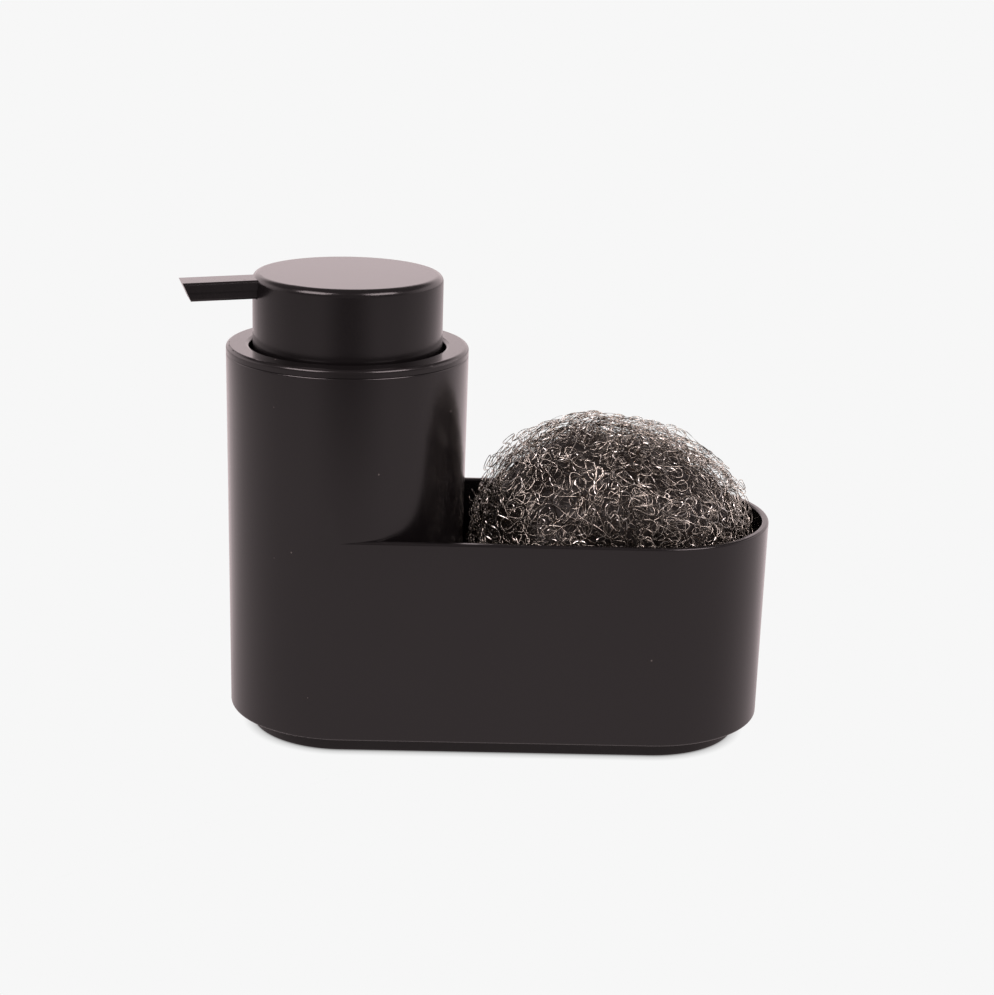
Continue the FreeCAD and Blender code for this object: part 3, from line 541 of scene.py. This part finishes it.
# %% [markdown]
# ## Curly wires
# Up close the scourer is an open knit: one wire runs round and round the bun and turns in a loop
# every few millimetres, so that each row hooks into the next. Several such stockings lie over each
# other. A knitting pattern on a flat cloth would tear at the poles of the bun, so the wire follows a
# spiral from pole to pole on which every loop covers the same area. Slow waves stretch and crumple
# the knit, and each loop is leaned out by its own random amount. The random draws are seeded.

# %% Crumple directions
DRAW = np.random.default_rng(11)
RIPPLE_TERMS = 10


def ripples(ways, size, slow, fast):
    """Random smooth waves over directions: a sum of sines of plane waves with random pace and start."""
    pace = unit(DRAW.normal(size=(RIPPLE_TERMS, 3))) * DRAW.uniform(slow, fast, (RIPPLE_TERMS, 1))
    start = DRAW.uniform(0, 2 * np.pi, RIPPLE_TERMS)
    return size * np.sin(ways @ pace.T + start).sum(axis=-1) / math.sqrt(RIPPLE_TERMS)


def random_turn():
    """A random turn in space: two random directions made square, and their cross product."""
    first = unit(DRAW.normal(size=3))
    second = unit(np.cross(first, DRAW.normal(size=3)))
    return np.stack([first, second, np.cross(first, second)])


print("crumpling waves:", RIPPLE_TERMS)

# %% Knit one stocking
POINTS_PER_LOOP = 20
BUN_RADIUS = 43.0
LOOP_OVERHANG = 0.24
LOOP_REACH = 0.52
POLE_SHARE = 0.0005
TIPPED_SHARES = (0.2, 1.6)
OWN_REACH = 0.35
OWN_OVERHANG = 0.6
CRUMPLE = (0.05, 5, 16)
DENTS = (0.85, 8, 22)
HIGHEST_RISE = 3.4


def directions(polar, azimuth):
    """Unit directions at an angle from the upright and an angle round it."""
    across = np.sin(polar)
    parts = (across * np.cos(azimuth), across * np.sin(azimuth), np.cos(polar))
    return np.stack(np.broadcast_arrays(*parts), axis=-1)


def rim_share(ways):
    """One round the bun's upright rim, zero at its front and back: one less the size of y, squared."""
    return (1 - np.abs(ways[..., 1])) ** 2


def knit_wire(pitch, row, lift, lean, sink):
    """Path and outward direction of one wire knitted over the bun, in loops a pitch and a row apart.

    On a unit ball the spiral has equal areas per step: height falls evenly and the turn follows the
    polar angle. A loop adds overhang sin(2 phase) along the row and reach cos(phase) across it, and
    its far side leans out of the knit by a random share of the lean. The sink opens the bun's rim."""
    loops = int(4 * np.pi * BUN_RADIUS ** 2 / (pitch * row))
    share = np.linspace(POLE_SHARE, 1 - POLE_SHARE, loops * POINTS_PER_LOOP)
    polar = np.arccos(1 - 2 * share)
    azimuth = 2 * np.pi * BUN_RADIUS / row * polar
    phase = 2 * np.pi * loops * share
    ways = directions(polar, azimuth)
    along = np.stack([-np.sin(azimuth), np.cos(azimuth), np.zeros_like(azimuth)], axis=1)
    across = np.cross(ways, along)
    bell = np.sin(phase / 2) ** 2
    loop = np.minimum((loops * share).astype(int), loops - 1)
    own = DRAW.normal(size=(2, loops))[:, loop] * bell
    tipped = DRAW.uniform(*TIPPED_SHARES, loops)[loop] * bell
    reach = LOOP_REACH * pitch * (np.cos(phase) + OWN_REACH * own[0])
    hang = LOOP_OVERHANG * pitch * (np.sin(2 * phase) + OWN_OVERHANG * own[1])
    ways = unit(ways + (along * hang[:, None] + across * reach[:, None]) / BUN_RADIUS) @ random_turn()
    crumple = np.stack([ripples(ways, *CRUMPLE) for axis in range(3)], axis=1)
    ways = unit(ways + crumple)
    out = unit(ways / BUN_HALVES ** 2)
    rise = lift + lean * tipped - sink * rim_share(ways) + ripples(ways, *DENTS)
    middle = ways * skin_distance(ways)[:, None]
    return BUN_MIDDLE + middle + out * np.minimum(rise, HIGHEST_RISE)[:, None], out


print("points to a loop:", POINTS_PER_LOOP)

# %% [markdown]
# ## Room in the tray
# The real wire springs against the tray's walls and lies flat on them. Pressing the knit with a
# simulation would take minutes, so each point that lies past a wall is set back onto it instead.

# %% Keep the wires in the tray
TOWER_CLEAR = 38.0
WIRE_ROOM = 0.15
FREE_HALF = scourer_high[1] - WIRE_ROOM


def held_in_room(path):
    """Wire points kept clear of the tray's floor and side walls, its round end and the tower."""
    kept = path.copy()
    kept[:, 1] = np.clip(kept[:, 1], -FREE_HALF, FREE_HALF)
    kept[:, 2] = np.maximum(kept[:, 2], scourer_low[2])
    from_end = kept[:, :2] - (TRAY_END, 0)
    reach = np.linalg.norm(from_end, axis=1, keepdims=True)
    beyond = (from_end[:, :1] > 0) & (reach > FREE_HALF)
    kept[:, :2] = np.where(beyond, (TRAY_END, 0) + from_end * FREE_HALF / reach, kept[:, :2])
    from_tower = kept[:, :2] - (TOWER_X, 0)
    gap = np.linalg.norm(from_tower, axis=1, keepdims=True)
    kept[:, :2] = np.where(gap < TOWER_CLEAR, (TOWER_X, 0) + from_tower * TOWER_CLEAR / gap, kept[:, :2])
    return kept


print("half width free for the wires in mm:", round(FREE_HALF, 2))

# %% [markdown]
# ## The stockings
# Five stockings lie over each other, from a loose one with wide, lazy loops to a dense inner one.
# Two of them are knitted with a double strand, whose twin wanders about a millimetre off. More
# layers of one knit would look combed, so each has its own loop length, row and looseness: the
# numbers are the pitch, the row, the lift, the lean and the sink, in millimetres.

# %% Knit the stockings
TWIN_WAVES = (0.95, 5, 14)


def twin_of(path, out):
    """A second strand beside a wire: the same path, moved by slow waves of about a millimetre."""
    ways = unit(path - BUN_MIDDLE)
    return path + np.stack([ripples(ways, *TWIN_WAVES) for axis in range(3)], axis=1), out


STOCKINGS = {
    "lazy": (12.0, 11.0, 0.4, 1.3, 0.0),
    "outer": (4.8, 9.0, 0.5, 1.9, 0.0),
    "ribbon": (5.6, 8.0, -0.4, 1.7, 0.4),
    "middle": (4.8, 5.6, -1.1, 1.3, 1.5),
    "inner": (4.2, 3.6, -2.6, 0.9, 1.6),
}
TWINS = ("outer", "middle")
knit = {name: knit_wire(*sizes) for name, sizes in STOCKINGS.items()}
knit.update({name + "_twin": twin_of(*knit[name]) for name in TWINS})
print("loops knitted:", {name: len(path) // POINTS_PER_LOOP for name, (path, out) in knit.items()})

# %% [markdown]
# ## The wire's finish
# Most of the wire is thin, round and dulled by use, brown-grey rather than bright. One stocking is
# rolled flat and still bright: its facets flash white where they happen to face a light. The tone
# changes at random from stretch to stretch, is darkened with depth as painted shade and is raised
# round the bun's upright rim as a painted highlight. So each wire carries it as an attribute, and a
# noise adds stains. A single shiny steel would make every wire look the same.

# %% Mix the wire's finish
STAINS_PER_METRE = 420.0
STAIN_RANGE = (0.5, 0.8)
DEEPEST_STAIN = 0.6
DULLING_RANGE = (0.3, 0.8)


def wire_finish(name, dark, light, smoothest, roughest):
    """Steel between two tones by the wire's tone attribute, which holds painted shade and painted
    highlight, with stains that darken and dull it.
    """
    material, tree, shader = new_material(name)
    tone = add_node(tree, "ShaderNodeAttribute", {"attribute_name": "wire_tone"}).outputs["Fac"]
    place = add_node(tree, "ShaderNodeTexCoord").outputs["Object"]
    noise = add_node(tree, "ShaderNodeTexNoise", Vector=place, Scale=STAINS_PER_METRE, Detail=2.0)
    stain = remap(tree, noise.outputs["Fac"], *STAIN_RANGE, 0.0, DEEPEST_STAIN)
    steel = mix_colours(tree, tone, dark, light)
    tree.links.new(mix_colours(tree, stain, steel, dark), shader.inputs["Base Color"])
    rough = remap(tree, noise.outputs["Fac"], *DULLING_RANGE, smoothest, roughest)
    tree.links.new(rough, shader.inputs["Roughness"])
    shader.inputs["Metallic"].default_value = 1.0
    return material


WIRE_STEEL = wire_finish("scourer_wire", (0.035, 0.025, 0.017, 1), (0.78, 0.75, 0.665, 1), 0.14, 0.32)
RIBBON_STEEL = wire_finish("scourer_ribbon", (0.08, 0.07, 0.056, 1), (0.86, 0.87, 0.82, 1), 0.06, 0.16)
print("wire finishes:", WIRE_STEEL.name, RIBBON_STEEL.name)

# %% [markdown]
# ## Winding
# Each stocking becomes two pieces, so that no mesh grows too large. A wire's own map is
# its length cut into rows, because a packed map of thousands of narrow faces would leave each face
# less than a pixel.

# %% Wind the scourer
WIRE_HALF = (0.12, 0.12)
RIBBON_HALF = (0.13, 0.045)
WIRE_SIDES = 4
FACE_CORNERS = 4
TWIST_WAVES = (1.0, 70.0, 240.0)
# Painted shade: each stocking's tone is lower the deeper it lies in the bun, from 1 outside to 0.2
# inside.
DEPTH_SHADE = {
    "lazy": 1.0, "outer": 1.0, "outer_twin": 0.75, "ribbon": 1.0,
    "middle": 0.6, "middle_twin": 0.4, "inner": 0.2,
}
TONE_MIDDLE = 0.5
TONE_WAVES = (0.55, 8, 40)
# Painted highlight: the tone is raised round the bun's upright rim, where glints show.
RIM_PAINTED_HIGHLIGHT = 2.4
RIM_NARROWNESS = 1.5
BAKE_MAP = "OFBake"
BAKE_ROWS = 24
ROW_MARGIN = 0.1


def unrolled(corner_of, points):
    """Places on the map: a point's share of the wire times the rows is its row and its place in it.

    All four corners of a face take the row of its first corner, so that no face spans two rows."""
    first_of = np.repeat(corner_of[::FACE_CORNERS], FACE_CORNERS)
    row = np.floor(first_of // WIRE_SIDES / points * BAKE_ROWS)
    u = np.clip(corner_of // WIRE_SIDES / points * BAKE_ROWS - row, 0, 1)
    v = (row + ROW_MARGIN + (1 - 2 * ROW_MARGIN) * (corner_of % WIRE_SIDES) / WIRE_SIDES) / BAKE_ROWS
    return np.stack([u, v], axis=1).astype(np.float32)


def wind(name, path, out, stocking):
    """One wire as a piece, round and smooth or flat and faceted, with its tone and its map."""
    flat = stocking == "ribbon"
    ways = unit(path - BUN_MIDDLE)
    twist = ripples(ways, *TWIST_WAVES)
    halves = RIBBON_HALF if flat else WIRE_HALF
    finish = RIBBON_STEEL if flat else WIRE_STEEL
    corners, faces = wire_tubes(held_in_room(path)[None], out[None], *halves, twist[None], WIRE_SIDES)
    piece = new_piece(name, corners * MM, faces, finish, "scourer", smooth=not flat)
    stretch = np.clip(TONE_MIDDLE + ripples(ways, *TONE_WAVES), 0, 1)
    # The tone is the random stretch tone times the painted shade by depth, raised by the painted
    # highlight round the upright rim.
    tone = DEPTH_SHADE[stocking] * stretch * (1 + RIM_PAINTED_HIGHLIGHT * rim_share(ways) ** RIM_NARROWNESS)
    tones = np.repeat(tone, WIRE_SIDES).astype(np.float32)
    piece.data.attributes.new("wire_tone", "FLOAT", "POINT").data.foreach_set("value", tones)
    corner_of = np.empty(len(piece.data.loops), np.int32)
    piece.data.loops.foreach_get("vertex_index", corner_of)
    layer = piece.data.uv_layers.new(name=BAKE_MAP)
    layer.uv.foreach_set("vector", unrolled(corner_of, len(path)).ravel())
    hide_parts("scourer")
    return piece


scourer_pieces = []
for stocking, (path, out) in knit.items():
    half = len(path) // 2
    scourer_pieces.append(wind(f"scourer_{stocking}_a", path[:half + 1], out[:half + 1], stocking))
    scourer_pieces.append(wind(f"scourer_{stocking}_b", path[half:], out[half:], stocking))
wire_faces = sum(len(piece.data.polygons) for piece in scourer_pieces)
print("scourer pieces:", len(scourer_pieces), "faces:", wire_faces)

# %% [markdown]
# ## The scourer's dark heart
# Deep inside, the wires are so dense that no light comes back. Winding them all would cost millions
# of faces that never show, so a lumpy dark body stands for them below the outer loops.

# %% Model the heart
HEART_DEPTH = 4.0
HEART_LUMP = 1.6
LUMP_PACES = (9, 11, 10)
LUMP_STARTS = (1, 0, 2)
HEART_RIM = 1.4
HEART_RINGS = 72
HEART_POINTS = 120


def heart_surface():
    """A closed grid over all directions: skin distance less a depth, with lumps as products of sines.

    The depth is greater round the upright rim, and a point at each pole closes the grid."""
    polar = np.linspace(0, np.pi, HEART_RINGS)[1:-1, None]
    round_angle = np.linspace(0, 2 * np.pi, HEART_POINTS, endpoint=False)[None, :]
    ways = directions(polar, round_angle)
    lumps = np.prod(np.sin(ways * LUMP_PACES + LUMP_STARTS), axis=-1)
    depth = HEART_DEPTH + HEART_RIM * rim_share(ways) - HEART_LUMP * lumps
    grid = ways * (skin_distance(ways) - depth)[..., None]
    poles = np.array([(0, 0, 1), (0, 0, -1)])
    poles = poles * (skin_distance(poles) - HEART_DEPTH - HEART_RIM)[:, None]
    corners = np.concatenate([grid.reshape(-1, 3), poles]) + BUN_MIDDLE
    index = np.arange(grid.shape[0] * HEART_POINTS).reshape(-1, HEART_POINTS)
    turned = np.roll(index, -1, axis=1)
    walls = np.stack([index[:-1], index[1:], turned[1:], turned[:-1]], axis=-1).reshape(-1, 4)
    top = np.stack([np.full(HEART_POINTS, index.size), index[0], turned[0]], axis=1)
    bottom = np.stack([np.full(HEART_POINTS, index.size + 1), turned[-1], index[-1]], axis=1)
    return corners, walls.tolist() + top.tolist() + bottom.tolist()


# Painted shade: the heart's near-black tones stand for the shade among the dense inner wires.
HEART_PAINTED_SHADE = plain_finish(
    "scourer_heart", (0.003, 0.0023, 0.0018, 1), (0.016, 0.012, 0.009, 1), per_metre=700, roughness=0.6,
    relief=0.3 * MM,
)
heart_corners, heart_faces = heart_surface()
heart = new_piece("scourer_heart", heart_corners * MM, heart_faces, HEART_PAINTED_SHADE, "scourer")
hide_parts("scourer")
print("heart faces:", len(heart_faces))

# %% [markdown]
# ## Return spring
# The spring sits in the pump's barrel between the cage and the stem's foot, and shortens as the head
# goes down. A rigid spring would push through the cage, so a coil is wound here from the cage's top
# to the stem foot's bottom. Its end turns lie close, as on a real ground spring.

# %% Wind the spring
spring_low, spring_high = (np.array(corner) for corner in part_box("return_spring"))
cage_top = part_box("ball_cage")[1].z
foot_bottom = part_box("stem_foot")[0].z
SPRING_WIRE = 1.0 * MM
SPRING_RADIUS = 4.5 * MM
SPRING_TURNS = 9
CLOSE_TURNS = 1.2
CLOSE_CLIMB = 1.05 * SPRING_WIRE
SPRING_STEPS = 480
SPRING_SIDES = 8


def spring_path():
    """A helix whose climb is slow over the end turns and even between them."""
    turn = np.linspace(0, SPRING_TURNS, SPRING_STEPS)
    inner = np.clip((turn - CLOSE_TURNS) / (SPRING_TURNS - 2 * CLOSE_TURNS), 0, 1)
    low = cage_top + SPRING_WIRE / 2
    high = foot_bottom - SPRING_WIRE / 2
    ends = np.minimum(turn, CLOSE_TURNS) - np.minimum(SPRING_TURNS - turn, CLOSE_TURNS) + CLOSE_TURNS
    rise = high - low - CLOSE_CLIMB * 2 * CLOSE_TURNS
    height = low + CLOSE_CLIMB * ends + rise * inner
    angle = 2 * np.pi * turn
    axis_x = (spring_low[0] + spring_high[0]) / 2
    x = axis_x + SPRING_RADIUS * np.cos(angle)
    return np.stack([x, SPRING_RADIUS * np.sin(angle), height], axis=1)


spring_points = spring_path()[None]
upright = np.broadcast_to(np.array([0.0, 0.0, 1.0]), spring_points.shape)
no_twist = np.zeros((1, SPRING_STEPS))
coil = wire_tubes(spring_points, upright, SPRING_WIRE / 2, SPRING_WIRE / 2, no_twist, SPRING_SIDES)
spring = new_piece("spring_coil", *coil, STEEL, "lid")
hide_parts("return_spring")
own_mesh(spring)
